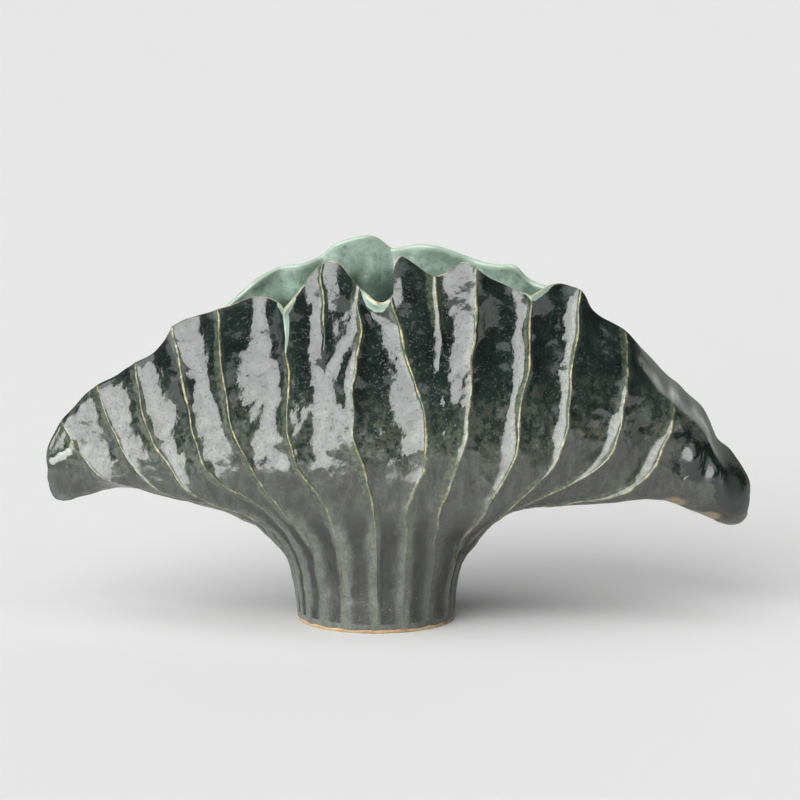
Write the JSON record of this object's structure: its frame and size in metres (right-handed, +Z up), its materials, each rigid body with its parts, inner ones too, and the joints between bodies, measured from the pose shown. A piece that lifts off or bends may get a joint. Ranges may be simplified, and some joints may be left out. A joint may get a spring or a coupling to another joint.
{
  "type": "ceramic vase",
  "caption": "Hand-built stoneware vase: a wide, ruffled, fluted fan with an open mouth along its top, on a narrow round foot. Dark glaze outside, pale glaze inside.",
  "frame": {"origin": "centre of the foot's underside, on the surface that the vase stands on", "axes": "+Z up, the wide front of the fan faces -Y, +X to the right seen from the front, along the longer wing"},
  "size_m": [0.4552, 0.1398, 0.2447],
  "materials": {
    "glazed_stoneware": "high gloss, dark mottled green-black outside with cream ridges, pale green inside",
    "bare_clay": "matt, fired buff stoneware without glaze"
  },
  "bodies": {
    "root": {"floor_slab": "bare_clay", "foot_wall": "glazed_stoneware", "left_keel": "glazed_stoneware", "right_keel": "glazed_stoneware", "front_left_panel": "glazed_stoneware", "front_centre_left_panel": "glazed_stoneware", "front_centre_right_panel": "glazed_stoneware", "front_right_panel": "glazed_stoneware", "back_left_panel": "glazed_stoneware", "back_centre_left_panel": "glazed_stoneware", "back_centre_right_panel": "glazed_stoneware", "back_right_panel": "glazed_stoneware", "left_tip": "glazed_stoneware", "right_tip": "glazed_stoneware"}
  },
  "joints": []
}
